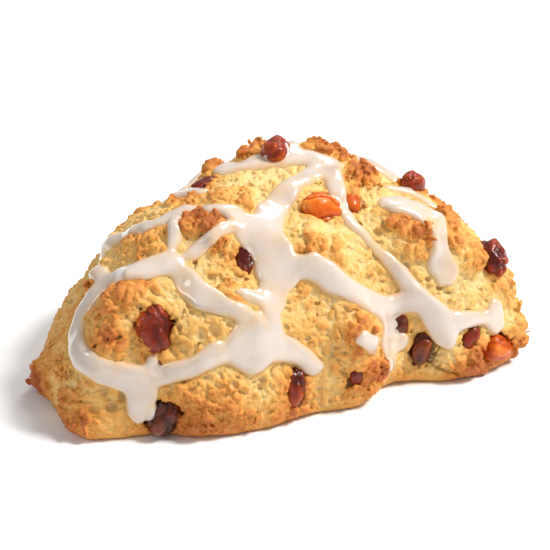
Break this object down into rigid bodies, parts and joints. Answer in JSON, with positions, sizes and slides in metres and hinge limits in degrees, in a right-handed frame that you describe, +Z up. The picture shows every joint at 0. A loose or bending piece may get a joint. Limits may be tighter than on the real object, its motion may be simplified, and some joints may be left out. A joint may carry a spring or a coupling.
{
  "type": "iced fruit scone",
  "caption": "Wedge-shaped baked scone with a craggy browned crust, dried fruit set in it and drizzled white icing over the top.",
  "frame": {"origin": "on the board the scone rests on, under the middle of its bounding box", "axes": "+X along the length, from the pointed end to the blunt end; +Z up"},
  "size_m": [0.1096, 0.0846, 0.0488],
  "materials": {
    "dough": "baked crust, rough and dry, golden on the crests and pale in the hollows",
    "icing": "set water icing, glossy and slightly translucent",
    "cranberry": "dried cranberry, wrinkled and glossy",
    "raisin": "raisin, wrinkled and slightly glossy",
    "apricot": "dried apricot piece, glossy and translucent"
  },
  "bodies": {
    "root": {"baked_dough": "dough", "cranberry_left": "cranberry", "cranberry_left_scrap": "cranberry", "cranberry_hollow": "cranberry", "cranberry_left_crest": "cranberry", "cranberry_crown": "cranberry", "cranberry_right_crest": "cranberry", "cranberry_drip": "cranberry", "cranberry_front_foot": "cranberry", "cranberry_small_foot": "cranberry", "cranberry_back": "cranberry", "cranberry_back_left": "cranberry", "raisin_left_foot": "raisin", "raisin_hole": "raisin", "raisin_right_foot": "raisin", "cranberry_right_end": "cranberry", "raisin_back_crest": "raisin", "raisin_back_foot": "raisin", "raisin_back_right": "raisin", "apricot_crown": "apricot", "apricot_crown_scrap": "apricot", "apricot_right_foot": "apricot", "apricot_front_foot": "apricot", "apricot_back": "apricot", "icing_front": "icing", "icing_front_drop": "icing", "icing_right": "icing", "icing_right_crest": "icing", "icing_left_crest": "icing", "icing_back": "icing"}
  },
  "joints": []
}
